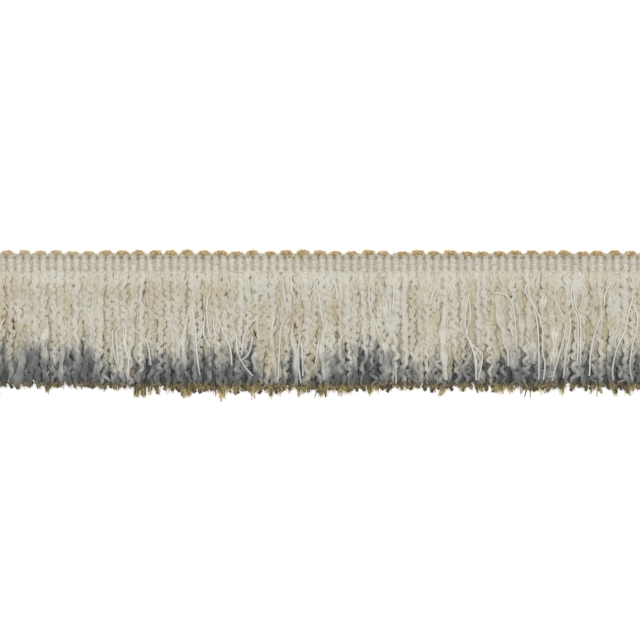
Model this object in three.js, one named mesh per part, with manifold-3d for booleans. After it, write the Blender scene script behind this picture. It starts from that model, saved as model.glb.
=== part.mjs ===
// A cut length of brush fringe trim, lying face up.
// It has a woven heading with upright ribs, a scalloped edge of small yarn loops along its top,
// and a skirt of cut boucle strands in three layers, with smooth threads loose over the front.
// Millimetres. X runs along the trim, +Y points to the looped edge, and +Z is the face.
// The origin is under the middle of the trim, on the surface that it lies on.
import * as THREE from "three";
import { mergeVertices } from "three/addons/utils/BufferGeometryUtils.js";
import Module from "manifold-3d";

// Driving dimensions.
const RIB_PITCH = 3; // centre to centre of the heading's ribs
const RIBS_PER_LOOP = 2;
const LOOP_COUNT = 43;
const OVERALL_WIDTH = 54.4; // from the crest of the loops to the longest strand's tip
const LOOP_RISE = 2.4; // how far the loops stand out of the heading
const HEADING_WIDTH = 5.8;
const HEADING_GROUND = 1.6; // thickness of the heading in the valleys between ribs
const RIB_RISE = 1.0; // how far a rib stands above the valleys
const PART_GAP = 0.3; // clearance between neighbouring pieces
const STRIP_WIDTH = 1.2; // woven root of a skirt layer, in Y
const STRIP_THICK = 0.8;
const LOOP_HALF = 1.95; // half the width of an edge loop
const LOOP_THICK = 2.2;
const LOOP_SMALLEST = 0.78; // rise of the lowest loop against LOOP_RISE
const LOOP_STRIP_WIDTH = 0.6; // what the loops grow out of, beside the heading
const LOOP_STRIP_THICK = 1.2;

// Worked out from them.
const LOOP_PITCH = RIB_PITCH * RIBS_PER_LOOP;
const RIB_COUNT = LOOP_COUNT * RIBS_PER_LOOP;
const LENGTH = RIB_COUNT * RIB_PITCH;
const STRIP_LENGTH = LENGTH - RIB_PITCH / 2;
const CREST_Y = OVERALL_WIDTH / 2;
const HEADING_TOP = CREST_Y - LOOP_RISE - PART_GAP;
const HEADING_EDGE = HEADING_TOP - HEADING_WIDTH;
const STRIP_TOP = HEADING_EDGE - PART_GAP;
const ROOT_Y = STRIP_TOP - STRIP_WIDTH / 2; // where every strand starts, inside its strip

// The skirt, from the surface up. floor is the underside of a layer's strands, at the root and
// along the body. reach is the longest strand, and ragged is how much shorter the others may be.
const LAYERS = [
  { name: "skirt_back", strands: 86, steps: 4, rootFloor: 0, bodyFloor: 0, thick: 1.5,
    width: 2.1, lockPlump: 1, reach: ROOT_Y + CREST_Y, ragged: 3.2, longest: 35, seed: 11 },
  { name: "skirt_middle", strands: 85, steps: 4, rootFloor: 1.1, bodyFloor: 1.9, thick: 1.6,
    width: 2.05, lockPlump: 1, reach: 42.8, ragged: 2.2, longest: 58, seed: 37 },
  { name: "skirt_front", strands: 86, steps: 5, rootFloor: 2.2, bodyFloor: 3.9, thick: 1.7,
    width: 2.0, lockPlump: 1.16, reach: 41.6, ragged: 2.2, longest: 17, seed: 71 },
];
const CLIMB_SHARE = 0.22; // share of a strand over which it rises from its root to its body height
const TIP_SHARE = 0.62; // size of a cut tip against the strand's body
const ROOT_WIDTH = 1.6; // a strand where it leaves its strip
const ROOT_THICK = 0.66;
const KNOB_LEAST = 0.9; // narrowest and widest a strand gets against its own width
const KNOB_MOST = 1.04;
const WANDER = 0.22; // how far a tip may stray from its neighbours' lean
// Strands lean together in two waves along the trim. sway is the lean at the tips.
const LEANS = [
  { wave: 8.5, sway: 1.2, power: 2, phase: 0.6 },
  { wave: 4.1, sway: 0.4, power: 1, phase: 2.1 },
];

// Wide soft locks among the front strands, by their place along the trim.
const LOCK_PLACES = [-111, -98, -71, -22, -6, 3, 24, 46, 68, 81, 102, 120];

// Smooth threads over the front: X at the root, halfway and at the tip, and length.
const THREADS = [
  { root: -121, middle: -122.4, tip: -120.8, reach: 38 },
  { root: -113.4, middle: -114.6, tip: -115.4, reach: 34 },
  { root: -104, middle: -102.2, tip: -103.1, reach: 39 },
  { root: -93.5, middle: -92.4, tip: -94.2, reach: 36 },
  { root: -84, middle: -83.4, tip: -81.6, reach: 40 },
  { root: -75.6, middle: -74.8, tip: -73.2, reach: 35 },
  { root: -71, middle: -70.4, tip: -69.2, reach: 38 },
  { root: -69, middle: -65, tip: -61.1, reach: 35 },
  { root: -57.6, middle: -56.4, tip: -55.6, reach: 40 },
  { root: -46, middle: -44.6, tip: -43.1, reach: 38 },
  { root: -41.4, middle: -41.2, tip: -39.3, reach: 28 },
  { root: -37.2, middle: -35, tip: -31.5, reach: 35 },
  { root: -20.6, middle: -25.6, tip: -27.8, reach: 33 },
  { root: -12.9, middle: -12.3, tip: -14.7, reach: 40 },
  { root: -10, middle: -8.1, tip: -6.4, reach: 41 },
  { root: 0, middle: 1.4, tip: -1, reach: 34 },
  { root: 5.4, middle: 6.8, tip: 6.8, reach: 26 },
  { root: 12.4, middle: 11.4, tip: 12.6, reach: 39 },
  { root: 19.7, middle: 18.7, tip: 22.5, reach: 25 },
  { root: 26.5, middle: 27.6, tip: 27.2, reach: 22 },
  { root: 31.6, middle: 30.8, tip: 30, reach: 41 },
  { root: 42.2, middle: 40.7, tip: 40, reach: 27 },
  { root: 48.6, middle: 49.6, tip: 48.2, reach: 40 },
  { root: 54.9, middle: 53.5, tip: 57.5, reach: 40 },
  { root: 57.4, middle: 56.2, tip: 60.2, reach: 40 },
  { root: 62.2, middle: 66, tip: 69.1, reach: 35 },
  { root: 64.2, middle: 71.2, tip: 72.1, reach: 29 },
  { root: 77.1, middle: 77.6, tip: 80.3, reach: 40 },
  { root: 78.9, middle: 79.9, tip: 82.2, reach: 40 },
  { root: 89.1, middle: 88.3, tip: 85.2, reach: 40 },
  { root: 91.8, middle: 91.8, tip: 89.4, reach: 39 },
  { root: 95.8, middle: 93.8, tip: 94.4, reach: 36 },
  { root: 97.8, middle: 95.7, tip: 96.1, reach: 37 },
  { root: 104.8, middle: 101.6, tip: 98.9, reach: 39 },
  { root: 107.8, middle: 105, tip: 103.8, reach: 29 },
  { root: 115.5, middle: 113, tip: 107.4, reach: 40 },
  { root: 118, middle: 116, tip: 114.1, reach: 40 },
  { root: 124.6, middle: 123.6, tip: 124.4, reach: 38 },
];
const THREAD = { width: 0.6, thick: 0.5, steps: 5, rootFloor: 3.45, bodyFloor: 6.1 };
const THREAD_STRIP_THICK = 0.54;

// The heading's rib: half its flat crest in shares of the pitch, and the share of the rise that it
// keeps from the top edge to the bottom one, where the warp crosses it in the middle and at its ends.
const RIB_CREST = 0.27;
const RIB_ROWS = [0.55, 1, 0.6, 1, 0.55];

const COLOURS = { heading: 0xc9c3b0, loops: 0xae9160, yarn: 0xc6c0aa, thread: 0xd8d5cb };

const wasm = await Module();
wasm.setup();

const cloth = (color, roughness) => new THREE.MeshStandardMaterial({ color, roughness, metalness: 0 });

// A repeatable number from 0 to 1 for each whole number.
function chance(n) {
  const s = Math.sin(n * 127.1 + 311.7) * 43758.5453;
  return s - Math.floor(s);
}

const smooth = (t) => {
  const s = THREE.MathUtils.clamp(t, 0, 1);
  return s * s * (3 - 2 * s);
};

// A closed three.js geometry as a solid that can be joined or cut.
function solidOf(geometry) {
  const bare = geometry.clone();
  bare.deleteAttribute("normal");
  bare.deleteAttribute("uv");
  const merged = mergeVertices(bare, 1e-4);
  return new wasm.Manifold(new wasm.Mesh({
    numProp: 3,
    vertProperties: merged.attributes.position.array,
    triVerts: new Uint32Array(merged.index.array),
  }));
}

// A joined or cut solid as a named mesh.
function meshOf(name, solid, material) {
  const { vertProperties, triVerts } = solid.getMesh();
  const geometry = new THREE.BufferGeometry();
  geometry.setAttribute("position", new THREE.BufferAttribute(vertProperties, 3));
  geometry.setIndex(new THREE.BufferAttribute(triVerts, 1));
  geometry.computeVertexNormals();
  const mesh = new THREE.Mesh(geometry, material);
  mesh.name = name;
  return mesh;
}

function box(xSize, ySize, zSize, x, y, z) {
  const g = new THREE.BoxGeometry(xSize, ySize, zSize);
  g.translate(x, y, z);
  return g;
}

// An outline in X and Z, drawn out along -Y. place(x, t, z) moves each of its points,
// where t runs from 0 at the start to 1 at the far end.
function drawnOut(outline, steps, place) {
  const g = new THREE.ExtrudeGeometry(new THREE.Shape(outline), { depth: 1, steps, bevelEnabled: false });
  const at = g.attributes.position;
  for (let i = 0; i < at.count; i++) at.setXYZ(i, ...place(at.getX(i), at.getZ(i), at.getY(i)));
  return g;
}

// The heading: one rib for each strand of the face, with a dip where a warp thread crosses.
function heading() {
  const half = LENGTH / 2;
  const crestHalf = RIB_PITCH * RIB_CREST;
  const crest = HEADING_GROUND + RIB_RISE;
  const outline = [new THREE.Vector2(-half, 0), new THREE.Vector2(half, 0)];
  for (let i = RIB_COUNT - 1; i >= 0; i--) {
    const middle = (i + 0.5) * RIB_PITCH - half;
    outline.push(new THREE.Vector2(middle + RIB_PITCH / 2, HEADING_GROUND));
    outline.push(new THREE.Vector2(middle + crestHalf, crest));
    outline.push(new THREE.Vector2(middle - crestHalf, crest));
  }
  outline.push(new THREE.Vector2(-half, HEADING_GROUND));
  const steps = RIB_ROWS.length - 1;
  const g = drawnOut(outline, steps, (x, t, z) => {
    const rise = Math.max(z - HEADING_GROUND, 0) * RIB_ROWS[Math.round(t * steps)];
    return [x, HEADING_TOP - t * HEADING_WIDTH, Math.min(z, HEADING_GROUND) + rise];
  });
  return meshOf("heading", solidOf(g), cloth(COLOURS.heading, 0.9));
}

// The looped edge: a rounded loop over each pair of ribs, on a narrow strip beside the heading.
function loopEdge() {
  const base = HEADING_TOP + PART_GAP;
  const stripY = base + LOOP_STRIP_WIDTH / 2;
  const stripZ = LOOP_STRIP_THICK / 2;
  let edge = solidOf(box(STRIP_LENGTH, LOOP_STRIP_WIDTH, LOOP_STRIP_THICK, 0, stripY, stripZ));
  const middle = (LOOP_COUNT - 1) / 2;
  for (let i = 0; i < LOOP_COUNT; i++) {
    const round = new THREE.SphereGeometry(1, 8, 4);
    const share = i === middle ? 1 : THREE.MathUtils.lerp(LOOP_SMALLEST, 0.98, chance(i + 5));
    const half = LOOP_HALF * THREE.MathUtils.lerp(0.9, 1, chance(i + 60));
    round.scale(half, LOOP_RISE * share, LOOP_THICK / 2);
    round.translate((i - middle) * LOOP_PITCH, base, LOOP_THICK / 2);
    edge = edge.add(solidOf(round));
  }
  const above = solidOf(box(LENGTH, LOOP_RISE * 2, LOOP_THICK * 2, 0, base + LOOP_RISE, LOOP_THICK));
  return meshOf("loop_edge", edge.intersect(above), cloth(COLOURS.loops, 0.85));
}

// How far the strands of one neighbourhood lean to the side together, which leaves them apart.
function lean(x, t) {
  const fade = 1 - (2 * Math.abs(x) / LENGTH) ** 8; // the end strands hang straight
  let sum = 0;
  for (const { wave, sway, power, phase } of LEANS) sum += sway * t ** power * Math.sin(x / wave + phase);
  return fade * sum;
}

// One three-sided strand with its flat side down. across(t) gives its middle in X.
function strandSolid({ reach, steps, across, widthAt, floorAt, thickAt }) {
  const corner = [[-0.5, 0], [0.5, 0], [0, 1]].map(([x, z]) => new THREE.Vector2(x, z));
  return solidOf(drawnOut(corner, steps, (u, t, v) => [
    across(t) + u * widthAt(t),
    ROOT_Y - t * reach,
    floorAt(t) + v * thickAt(t),
  ]));
}

// Passes from one value at a strand's root to another along its body.
const climb = (from, to) => (t) => THREE.MathUtils.lerp(from, to, smooth(t / CLIMB_SHARE));

// One layer of the skirt: cut strands whose roots run into one strip.
function skirtLayer(layer) {
  const { name, strands, steps, rootFloor, bodyFloor, thick, width, lockPlump } = layer;
  const { reach, ragged, longest, seed } = layer;
  const rootLift = bodyFloor ? (STRIP_THICK - ROOT_THICK) / 2 : 0;
  let all = solidOf(box(STRIP_LENGTH, STRIP_WIDTH, STRIP_THICK, 0, ROOT_Y, rootFloor + STRIP_THICK / 2));
  for (let i = 0; i < strands; i++) {
    const x = (i - (strands - 1) / 2) * RIB_PITCH;
    const shorter = i === longest ? 0 : ragged * (0.12 + 0.88 * chance(seed + i));
    const inLock = LOCK_PLACES.some((at) => Math.abs(at - x) < RIB_PITCH / 2);
    const body = width * (inLock ? lockPlump : 1);
    const wander = WANDER * (chance(seed + 200 + i) - 0.5);
    const tipOf = (t) => (t > 0.99 ? TIP_SHARE : 1);
    const roll = (t) => chance(seed + 7 * i + 31 * Math.round(t * steps));
    const knob = (t) => THREE.MathUtils.lerp(KNOB_LEAST, KNOB_MOST, roll(t));
    all = all.add(strandSolid({
      reach: reach - shorter,
      steps,
      across: (t) => x + lean(x, t) + wander * t,
      widthAt: (t) => climb(ROOT_WIDTH, body * knob(t) * tipOf(t))(t),
      floorAt: climb(rootFloor + rootLift, bodyFloor),
      thickAt: (t) => climb(ROOT_THICK, thick * tipOf(t))(t),
    }));
  }
  return meshOf(name, all, cloth(COLOURS.yarn, 1));
}

// The smooth threads, whose roots run into a thin strip over the front layer's root.
function looseThreads() {
  const { width, thick, steps, rootFloor, bodyFloor } = THREAD;
  const first = THREADS[0].root - 1;
  const last = THREADS[THREADS.length - 1].root + 1;
  const strip = box(last - first, STRIP_WIDTH, THREAD_STRIP_THICK, (first + last) / 2, ROOT_Y,
    rootFloor + THREAD_STRIP_THICK / 2);
  let all = solidOf(strip);
  for (const { root, middle, tip, reach } of THREADS) {
    all = all.add(strandSolid({
      reach,
      steps,
      across: (t) => root * (1 - t) * (1 - 2 * t) + middle * 4 * t * (1 - t) + tip * t * (2 * t - 1),
      widthAt: () => width,
      floorAt: climb(rootFloor + (THREAD_STRIP_THICK - thick) / 2, bodyFloor),
      thickAt: () => thick,
    }));
  }
  return meshOf("loose_threads", all, cloth(COLOURS.thread, 0.6));
}

const trim = new THREE.Group();
trim.add(heading(), loopEdge());
LAYERS.forEach((layer) => trim.add(skirtLayer(layer)));
trim.add(looseThreads());

export default trim;
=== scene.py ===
# %% [markdown]
# # A boucle brush fringe
#
# The object is a cut length of furnishing fringe that lies face up. A weaver makes it in one pass:
# a narrow ribbed heading, small tan loops along its top, and a skirt of cut yarns below it.
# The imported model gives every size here, so each yarn is laid out inside its own solid's space.
# All lengths below are in millimetres until a mesh is made, because yarn is measured that way.

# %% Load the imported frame
import bpy
import math
import numpy as np
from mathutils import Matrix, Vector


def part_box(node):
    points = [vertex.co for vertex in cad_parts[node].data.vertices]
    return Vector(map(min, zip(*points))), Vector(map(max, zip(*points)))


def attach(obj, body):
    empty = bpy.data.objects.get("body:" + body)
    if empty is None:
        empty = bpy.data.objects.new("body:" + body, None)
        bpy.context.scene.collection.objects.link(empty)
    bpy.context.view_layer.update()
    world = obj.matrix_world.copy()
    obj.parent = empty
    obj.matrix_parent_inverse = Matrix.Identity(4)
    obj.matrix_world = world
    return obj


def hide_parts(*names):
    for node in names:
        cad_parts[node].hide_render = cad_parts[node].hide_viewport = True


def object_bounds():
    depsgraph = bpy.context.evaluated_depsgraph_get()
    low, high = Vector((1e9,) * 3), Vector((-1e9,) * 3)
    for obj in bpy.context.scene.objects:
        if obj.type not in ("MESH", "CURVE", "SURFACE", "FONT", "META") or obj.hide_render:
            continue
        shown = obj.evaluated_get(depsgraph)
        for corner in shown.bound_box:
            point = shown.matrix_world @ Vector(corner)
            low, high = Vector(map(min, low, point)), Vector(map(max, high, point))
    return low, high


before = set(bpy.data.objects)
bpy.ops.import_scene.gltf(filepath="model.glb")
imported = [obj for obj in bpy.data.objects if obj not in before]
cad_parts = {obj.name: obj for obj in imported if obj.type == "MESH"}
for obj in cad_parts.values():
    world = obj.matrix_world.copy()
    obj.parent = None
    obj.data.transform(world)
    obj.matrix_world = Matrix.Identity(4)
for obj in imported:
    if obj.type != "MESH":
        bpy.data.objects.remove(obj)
cad_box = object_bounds()
MM = 0.001


def box_mm(node):
    """Lowest and highest corner of one of the frame's nodes, in millimetres."""
    low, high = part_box(node)
    return np.array(low) / MM, np.array(high) / MM


low_corner, high_corner = (np.array(corner) / MM for corner in cad_box)
print("fringe:", np.round(high_corner - low_corner, 1), "mm, nodes:", sorted(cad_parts))

# %% [markdown]
# ## The camera
#
# The trim is seen square from above, as if it lay on a copy stand. A long lens that hangs high
# over the trim keeps the ribs at both ends parallel. Its distance follows from the width of trim
# that has to fill the picture, so it is worked out rather than tried.

# %% Hang the camera over the trim
VIEW_WIDTH = 233.4  # width of trim in the picture
VIEW_CENTRE = (0.62, 0.91)  # the spot of the trim right below the camera
LENS = 100
SENSOR = 36  # width of the film behind the lens
FACE_HEIGHT = 4.5  # the skirt's face above the surface

camera_data = bpy.data.cameras.new("copy_camera")
camera_data.lens = LENS
camera_data.sensor_width = SENSOR
camera = bpy.data.objects.new("copy_camera", camera_data)
distance = VIEW_WIDTH * LENS / SENSOR
camera.location = (VIEW_CENTRE[0] * MM, VIEW_CENTRE[1] * MM, (distance + FACE_HEIGHT) * MM)
bpy.context.scene.collection.objects.link(camera)
bpy.context.scene.camera = camera
print("camera is", round(distance), "mm over the face")

# %% [markdown]
# ## The surface and the light
#
# Pale yarn needs a pale surface and soft light, or its small knobs turn into hard black lines.
# Two wide lamps hang high over the trim, one of them a little towards the heading, so that each
# knob has a gentle shade on its lower side. The bright surroundings fill the gaps, and a little
# glow in the surface keeps the trim's shadow faint.

# %% Lay the surface and hang the lamps
def lamp(name, power, size, place):
    """A square soft lamp, turned to the middle of the trim. Place and size are in metres."""
    data = bpy.data.lights.new(name, "AREA")
    data.energy = power
    data.size = size
    made = bpy.data.objects.new(name, data)
    made.location = place
    toward = -np.array(place)
    flat = math.hypot(toward[0], toward[1])
    made.rotation_euler = (math.atan2(flat, -toward[2]), 0, math.atan2(-toward[0], toward[1]))
    bpy.context.scene.collection.objects.link(made)
    return made


SURFACE_SIZE = 6  # metres, so that it fills the picture from every side
SURFACE_DROP = 0.0002  # metres, so that the lowest yarns lie on it and not in it
bpy.ops.mesh.primitive_plane_add(size=SURFACE_SIZE, location=(0, 0, -SURFACE_DROP))
surface = bpy.context.object
surface.name = "surface"
paper = bpy.data.materials.new("pale_surface")
paper.use_nodes = True
paper_shader = paper.node_tree.nodes["Principled BSDF"]
paper_shader.inputs["Base Color"].default_value = (0.92, 0.92, 0.92, 1)
paper_shader.inputs["Roughness"].default_value = 0.9
paper_shader.inputs["Emission Color"].default_value = (1, 1, 1, 1)
paper_shader.inputs["Emission Strength"].default_value = 0.3
surface.data.materials.append(paper)

key_lamp = lamp("key_lamp", power=6.5, size=0.4, place=(-0.12, 0.34, 1.3))
fill_lamp = lamp("fill_lamp", power=5.0, size=0.4, place=(0.06, -0.02, 1.4))
world = bpy.data.worlds.new("bright_room")
world.use_nodes = True
world.node_tree.nodes["Background"].inputs["Color"].default_value = (1, 1, 1, 1)
world.node_tree.nodes["Background"].inputs["Strength"].default_value = 0.4
bpy.context.scene.world = world
bpy.context.scene.view_settings.view_transform = "Standard"
print("lamps:", key_lamp.data.energy, "W and", fill_lamp.data.energy, "W")

# %% [markdown]
# ## Yarn as tubes
#
# Every yarn, thread and hair here is a closed tube along its own line. Curve objects could do it,
# but thousands of them are slow, so whole families of tubes are worked out as arrays: one row for
# each yarn, one column for each step along it. A tube keeps its section square to its line, which
# holds its thickness in tight curls.

# %% Turn lines into closed tubes
UP = np.array([0.0, 0.0, 1.0])
CLEARANCE = 0.05  # smallest gap between a yarn and the surface below it


def xyz(place, across, height):
    """Points or arrows from their X, Y and Z, each of which may be one number or many."""
    return np.stack(np.broadcast_arrays(place, across, height), axis=-1)


def unit(vectors):
    """The same vectors at length one."""
    return vectors / np.maximum(np.linalg.norm(vectors, axis=-1, keepdims=True), 1e-9)


def tubes(lines, half_width, half_depth, sides, tone=0.0):
    """Closed tubes along lines, an array of (yarns, steps, 3). The half sizes fit (yarns, steps)."""
    yarns, steps, _ = lines.shape
    ahead = unit(np.gradient(lines, axis=1))
    across = unit(np.cross(ahead, UP))
    out = np.cross(across, ahead)
    turn = math.pi / 2 + np.arange(sides) * 2 * math.pi / sides
    half_width = np.broadcast_to(half_width, (yarns, steps))[:, :, None, None]
    half_depth = np.broadcast_to(half_depth, (yarns, steps))[:, :, None, None]
    ring = (np.cos(turn)[:, None] * half_width * across[:, :, None, :]
            + np.sin(turn)[:, None] * half_depth * out[:, :, None, :])
    points = (lines[:, :, None, :] + ring).reshape(-1, 3)
    number = np.arange(yarns * steps * sides).reshape(yarns, steps, sides)
    onward = np.roll(number, -1, axis=2)
    quads = np.stack([number[:, :-1], number[:, 1:], onward[:, 1:], onward[:, :-1]], axis=-1)
    caps = np.concatenate([number[:, 0], number[:, -1, ::-1]])
    tone = np.asarray(tone, float)
    tone = tone.reshape(tone.shape + (1,) * (3 - tone.ndim))
    tones = np.broadcast_to(tone, (yarns, steps, sides)).ravel()
    flanks = np.broadcast_to(1 - np.clip(np.sin(turn), 0, 1), (yarns, steps, sides)).ravel()
    return {"points": points, "quads": quads.reshape(-1, 4), "caps": caps, "tones": tones,
            "flanks": flanks}


one = tubes(xyz(0.0, np.array([[0.0, -1.0, -2.0]]), 0.0), 0.5, 0.5, 6)
print("a short tube has", len(one["points"]), "points and", len(one["quads"]) + 2, "faces")

# %% [markdown]
# ## From tubes to one piece
#
# A layer of yarns is one joined mesh, because that is how the real layer is handled and because a
# single mesh loads quickly. Each point keeps three numbers for the finish. One is its yarn's tone,
# which makes a yarn a little warmer than its neighbour. One tells a yarn's crest from its flanks,
# where the light is warmer. The last is the dye that it took up: the skirt's lower part was dipped,
# and the dye crept up further at some places than at others.

# %% Join tubes into a mesh
triangles = {}


def table(columns, *rows):
    """A list with one dictionary for each row. The columns' names are words in one string."""
    return [dict(zip(columns.split(), row)) for row in rows]


DYE_LINE = table(  # place along the trim, and how far up the dye crept there
    "along up_to",
    (-113, -12.2),
    (-105, -6.4),
    (-98, -11.2),
    (-83, -8.4),
    (-76, -15.2),
    (-69, -16.9),
    (-60, -13.2),
    (-54, -13.8),
    (-46, -9.6),
    (-39, -12.0),
    (-32, -13.8),
    (-25, -8.6),
    (-18, -18.6),
    (-10, -13.6),
    (-3, -17.0),
    (4, -15.4),
    (12, -11.8),
    (19, -11.7),
    (26, -11.0),
    (33, -16.4),
    (41, -17.6),
    (55, -14.9),
    (63, -16.6),
    (70, -10.3),
    (77, -12.6),
    (85, -14.4),
    (92, -12.6),
    (99, -13.9),
    (106, -11.4),
    (114, -11.4),
)
DYE_FADE = 12.0  # length over which the dye fades out upward


def dye_taken(points):
    """How much dye each point took up, from 0 to 1, and beyond it where the yarn is soaked."""
    along = [row["along"] for row in DYE_LINE]
    line = np.interp(points[:, 0], along, [row["up_to"] for row in DYE_LINE])
    return (line + 0.5 * DYE_FADE - points[:, 1]) / DYE_FADE


def join_tubes(name, families):
    """One mesh object from several families of tubes."""
    corners, sizes, points, first = [], [], [], 0
    for family in families:
        for faces in (family["quads"], family["caps"]):
            corners.append((faces + first).ravel())
            sizes.append(np.full(len(faces), faces.shape[1]))
        points.append(family["points"])
        first += len(family["points"])
    corners, sizes, points = np.concatenate(corners), np.concatenate(sizes), np.concatenate(points)
    mesh = bpy.data.meshes.new(name)
    mesh.vertices.add(len(points))
    mesh.vertices.foreach_set("co", (points * MM).astype(np.float32).ravel())
    mesh.loops.add(len(corners))
    mesh.loops.foreach_set("vertex_index", corners.astype(np.int32))
    mesh.polygons.add(len(sizes))
    mesh.polygons.foreach_set("loop_start", (np.cumsum(sizes) - sizes).astype(np.int32))
    mesh.polygons.foreach_set("use_smooth", np.ones(len(sizes), bool))
    mesh.update(calc_edges=True)
    kept = {
        "yarn_tone": np.concatenate([family["tones"] for family in families]),
        "flank": np.concatenate([family["flanks"] for family in families]),
        "dye_taken": dye_taken(points),
    }
    for title, values in kept.items():
        store = mesh.attributes.new(title, "FLOAT", "POINT").data
        store.foreach_set("value", values.astype(np.float32))
    piece = bpy.data.objects.new(name, mesh)
    bpy.context.scene.collection.objects.link(piece)
    triangles[name] = int((sizes - 2).sum())
    print(name, "has", triangles[name], "triangles")
    return piece


# %% [markdown]
# ## Uneven by nature
#
# Spun yarn never repeats. Its width, its path and its shade all drift slowly along its length.
# A row of random knots with a smooth run between them gives that drift, and a fixed seed for each
# step of the work gives the same fringe every time.

# %% A slow random drift along each yarn
def drift(dice, yarns, steps, knots):
    """Smooth random numbers, mostly from -1 to 1, as an array of (yarns, steps)."""
    knot_values = dice.normal(0, 0.6, (yarns, knots + 3))
    place = np.linspace(0, knots, steps)
    knot = np.minimum(place.astype(int), knots - 1)
    part = place - knot
    part = part * part * (3 - 2 * part)
    return knot_values[:, knot] * (1 - part) + knot_values[:, knot + 1] * part


def ease(value, start, end):
    """Rises smoothly from 0 at start to 1 at end."""
    share = np.clip((value - start) / (end - start), 0, 1)
    return share * share * (3 - 2 * share)


print("drift:", np.round(drift(np.random.default_rng(1), 1, 6, 3), 2))

# %% [markdown]
# ## Where the strands hang
#
# The skirt's lower edge was cut by hand, so it runs unevenly: a little short at the left, longest
# just left of the middle. Neighbouring strands lean together, because they were combed together.
# One table holds the cut edge and one function the lean, and every layer reads them.

# %% The cut edge and the common lean
CUT_EDGE = table(  # place along the trim, where the longest strands end, and how frayed they are
    "along ends frayed",
    (-129, -23.5, 0.45),
    (-70, -24.4, 0.6),
    (-60, -25.6, 0.95),
    (-30, -26.1, 1.0),
    (0, -25.8, 0.95),
    (20, -24.8, 0.95),
    (60, -24.9, 1.0),
    (90, -25.1, 1.0),
    (129, -24.7, 0.9),
)


def cut_edge(along, what="ends"):
    """Where the skirt is cut at this place along the trim, or how frayed it is there."""
    return np.interp(along, [row["along"] for row in CUT_EDGE], [row[what] for row in CUT_EDGE])


def lean(along, share):
    """How far strands lean sideways together, at a share of their length."""
    slow = 1.5 * share**2 * np.sin(along / 8.5 + 0.6)
    quick = 0.4 * share * np.sin(along / 4.1 + 2.1)
    half_length = high_corner[0]
    return (slow + quick) * (1 - (np.abs(along) / half_length) ** 8)


print("the edge ends between", cut_edge(-129), "and", cut_edge(-30), "mm")

# %% [markdown]
# ## Boucle strands
#
# A boucle strand has a core that runs straight through it, and a slack ply that knots up around it.
# Here the core is one tube. It is full and held close at the heading. Towards the cut end nothing
# holds it, so it thins and waves from side to side in loose curls. Three layers lie over each
# other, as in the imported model. The middle strands lie behind the gaps of the front ones, and the
# flat back layer is so close that it lets nothing through.

# %% Lay one layer of boucle
UNDER_HEADING = 0.4  # how far a strand starts past its solid, where the heading hides it
ZIGZAG_EVERY = 3.4  # length of one full zigzag of the twist
CURL_EVERY = 4.4  # length from one loose curl to the next
LONG_SHARE = 0.14  # share of strands that the shears left too long
LEFT_LONG = 1.5  # how much too long they are
SLUB_SHARE = 0.35  # share of strands that were hardly twisted


def waves(dice, along_strand, every, unsteady, knots):
    """A wave along each strand that speeds up and slows down as it goes."""
    yarns, steps = along_strand.shape
    start = dice.uniform(0, 1, (yarns, 1))
    return 2 * math.pi * (along_strand / every + start) + unsteady * drift(dice, yarns, steps, knots)


def strand_widths(dice, share, loose):
    """How full each strand is along its length, and which of them are slubs."""
    count, steps = loose.shape
    slub = dice.uniform(0, 1, (count, 1)) < SLUB_SHARE
    lumps = np.clip(1 + 0.16 * drift(dice, count, steps, 14), 0.65, 1.4)
    lumps = lumps * (1 + 0.24 * slub * (0.3 + drift(dice, count, steps, 6)))
    thin = (1 - 0.1 * ease(share, 0, 0.6)) * (1 - 0.34 * loose**0.6)
    full = dice.uniform(0.82, 1.14, (count, 1)) * thin
    closed = (0.35 + 0.65 * ease(share, -0.01, 0.03)) * (1 - 0.6 * ease(share, 0.9, 1.0))
    return full * closed * lumps, slub


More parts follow.
